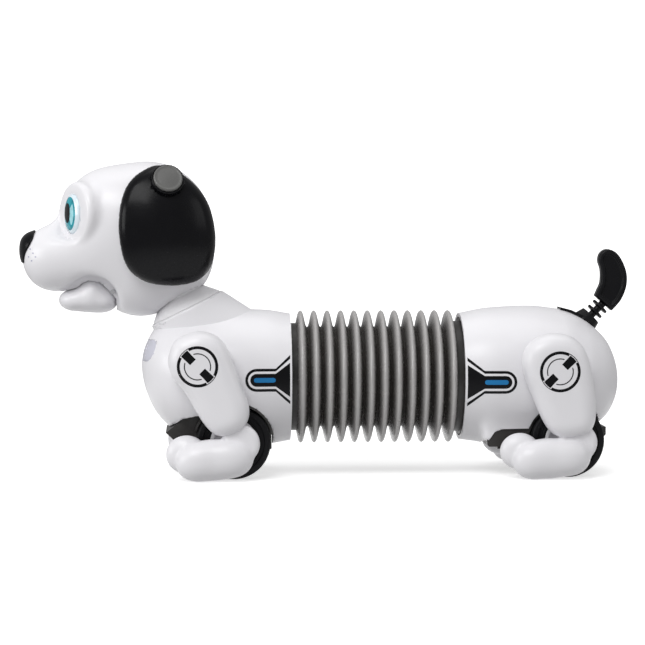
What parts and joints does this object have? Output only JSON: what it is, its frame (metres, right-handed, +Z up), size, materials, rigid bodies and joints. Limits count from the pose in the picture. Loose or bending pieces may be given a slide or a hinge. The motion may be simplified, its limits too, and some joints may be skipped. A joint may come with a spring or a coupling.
{
  "type": "robot dog toy",
  "caption": "Long-bodied robot dog with a bellows between its front and rear casings, hidden drive wheels, swinging legs, a turning head, push-button ears and a short tail.",
  "frame": {"origin": "on the floor under the middle of the toy's outer box", "axes": "+X from the head to the tail, +Y to the dog's right side, +Z up"},
  "size_m": [0.3036, 0.0936, 0.155],
  "materials": {
    "white_casing": "gloss",
    "pale_grey_plastic": "satin",
    "dark_grey_plastic": "matte",
    "black_plastic": "gloss",
    "button_grey": "satin",
    "chest_lens": "translucent gloss",
    "bellows_grey": "satin",
    "rubber_black": "matte",
    "tyre_rubber": "matte",
    "gear_plastic": "satin",
    "steel": "satin",
    "board_green": "satin",
    "cell_wrap": "satin",
    "eye_lens": "gloss",
    "eye_iris": "gloss"
  },
  "bodies": {
    "front_body": {"front_shell_left": "white_casing", "front_shell_right": "white_casing", "front_chassis": "dark_grey_plastic", "chest_lens": "chest_lens", "front_bulkhead": "dark_grey_plastic", "neck_collar": "white_casing", "neck_post": "pale_grey_plastic", "front_leg_shaft": "steel", "front_gearbox": "pale_grey_plastic", "drive_motor": "steel", "speaker": "steel", "circuit_board": "board_green", "front_screws": "steel", "stretch_rack": "gear_plastic", "bellows": "bellows_grey"},
    "front_wheels": {"front_axle_and_gear": "steel", "front_hubs": "white_casing", "front_tyres": "tyre_rubber"},
    "drive_idler": {"drive_idler_gear": "gear_plastic"},
    "drive_rotor": {"drive_motor_pinion": "steel"},
    "rear_body": {"rear_shell_left": "white_casing", "rear_shell_right": "white_casing", "rear_chassis": "dark_grey_plastic", "rear_bulkhead": "dark_grey_plastic", "rear_leg_shaft": "steel", "rear_gearbox": "pale_grey_plastic", "stretch_motor": "steel", "batteries": "cell_wrap", "battery_contacts": "steel", "tail_base": "rubber_black", "rear_screws": "steel"},
    "rear_wheels": {"rear_axle": "steel", "rear_hubs": "white_casing", "rear_tyres": "tyre_rubber"},
    "stretch_shaft": {"stretch_pinion": "gear_plastic"},
    "battery_cover": {"battery_door": "dark_grey_plastic", "battery_door_screw": "steel"},
    "switch_knob": {"power_switch": "black_plastic"},
    "tail_stem": {"tail": "rubber_black"},
    "head": {"head_shell_left": "white_casing", "head_shell_right": "white_casing", "nose": "black_plastic", "eye_lenses": "eye_lens", "eye_irises": "eye_iris", "ear_bosses": "black_plastic", "ear_switches": "dark_grey_plastic", "jaw_pin": "steel"},
    "lower_jaw": {"jaw": "white_casing"},
    "left_ear": {"ear_left": "black_plastic"},
    "right_ear": {"ear_right": "black_plastic"},
    "left_ear_cap": {"ear_button_left": "button_grey"},
    "right_ear_cap": {"ear_button_right": "button_grey"},
    "front_left_limb": {"front_left_leg": "white_casing", "front_left_foot": "white_casing"},
    "front_right_limb": {"front_right_leg": "white_casing", "front_right_foot": "white_casing"},
    "hind_left_limb": {"hind_left_leg": "white_casing", "hind_left_foot": "white_casing"},
    "hind_right_limb": {"hind_right_leg": "white_casing", "hind_right_foot": "white_casing"}
  },
  "joints": [
    {"name": "body_stretch", "type": "slide", "parent": "front_body", "child": "rear_body", "axis": [1, 0, 0], "range_m": [-0.024, 0.014], "deforming": ["bellows"]},
    {"name": "stretch_pinion_turn", "type": "hinge", "parent": "rear_body", "child": "stretch_shaft", "pos_m": [0.095, 0, 0.0501], "axis": [0, 1, 0], "range_deg": [-215.9, 126.3]},
    {"name": "head_turn", "type": "hinge", "parent": "front_body", "child": "head", "pos_m": [-0.068, 0, 0.0823], "axis": [-0.4431, 0, 0.8965], "range_deg": [-40, 40]},
    {"name": "jaw_open", "type": "hinge", "parent": "head", "child": "lower_jaw", "pos_m": [-0.1045, 0, 0.091], "axis": [0, -1, 0], "range_deg": [0, 10]},
    {"name": "ear_swing_left", "type": "hinge", "parent": "head", "child": "left_ear", "pos_m": [-0.0773, -0.03, 0.145], "axis": [0.155, -0.8662, 0.4751], "range_deg": [-12, 12]},
    {"name": "ear_swing_right", "type": "hinge", "parent": "head", "child": "right_ear", "pos_m": [-0.0773, 0.03, 0.145], "axis": [0.155, 0.8662, 0.4751], "range_deg": [-12, 12]},
    {"name": "ear_button_press_left", "type": "slide", "parent": "head", "child": "left_ear_cap", "axis": [-0.155, 0.8662, -0.4751], "range_m": [0, 0.0012], "stiffness_N_per_m": 400, "springref_m": -0.001},
    {"name": "ear_button_press_right", "type": "slide", "parent": "head", "child": "right_ear_cap", "axis": [-0.155, -0.8662, -0.4751], "range_m": [0, 0.0012], "stiffness_N_per_m": 400, "springref_m": -0.001},
    {"name": "front_wheels_spin", "type": "hinge", "parent": "front_body", "child": "front_wheels", "pos_m": [-0.0454, 0, 0.018], "axis": [0, 1, 0], "continuous": true},
    {"name": "drive_idler_spin", "type": "hinge", "parent": "front_body", "child": "drive_idler", "pos_m": [-0.0454, 0, 0.0285], "axis": [0, 1, 0], "continuous": true},
    {"name": "drive_rotor_spin", "type": "hinge", "parent": "front_body", "child": "drive_rotor", "pos_m": [-0.0454, 0, 0.0395], "axis": [0, 1, 0], "continuous": true},
    {"name": "rear_wheels_spin", "type": "hinge", "parent": "rear_body", "child": "rear_wheels", "pos_m": [0.1187, 0, 0.018], "axis": [0, 1, 0], "continuous": true},
    {"name": "front_left_leg_swing", "type": "hinge", "parent": "front_body", "child": "front_left_limb", "pos_m": [-0.0625, 0, 0.0563], "axis": [0, 1, 0], "range_deg": [-7, 7]},
    {"name": "front_right_leg_swing", "type": "hinge", "parent": "front_body", "child": "front_right_limb", "pos_m": [-0.0625, 0, 0.0563], "axis": [0, 1, 0], "range_deg": [-7.2, 7.2]},
    {"name": "hind_left_leg_swing", "type": "hinge", "parent": "rear_body", "child": "hind_left_limb", "pos_m": [0.1115, 0, 0.0535], "axis": [0, 1, 0], "range_deg": [-7, 7]},
    {"name": "hind_right_leg_swing", "type": "hinge", "parent": "rear_body", "child": "hind_right_limb", "pos_m": [0.1115, 0, 0.0535], "axis": [0, 1, 0], "range_deg": [-7.2, 7.2]},
    {"name": "tail_wag", "type": "hinge", "parent": "rear_body", "child": "tail_stem", "pos_m": [0.1335, 0, 0.077], "axis": [-0.7071, 0, 0.7071], "range_deg": [-18, 18]},
    {"name": "power_switch_slide", "type": "slide", "parent": "rear_body", "child": "switch_knob", "axis": [1, 0, 0], "range_m": [0, 0.004]},
    {"name": "battery_cover_lift", "type": "slide", "parent": "rear_body", "child": "battery_cover", "axis": [0, 0, -1], "range_m": [0, 0.011]}
  ],
  "couplings": [
    {"joint": "stretch_pinion_turn", "follows": "body_stretch", "rad_per_m": 156.25},
    {"joint": "drive_idler_spin", "follows": "front_wheels_spin", "ratio": -2.5},
    {"joint": "drive_rotor_spin", "follows": "front_wheels_spin", "ratio": 6.6667},
    {"joint": "front_right_leg_swing", "follows": "front_left_leg_swing", "ratio": -1},
    {"joint": "hind_right_leg_swing", "follows": "hind_left_leg_swing", "ratio": -1}
  ]
}
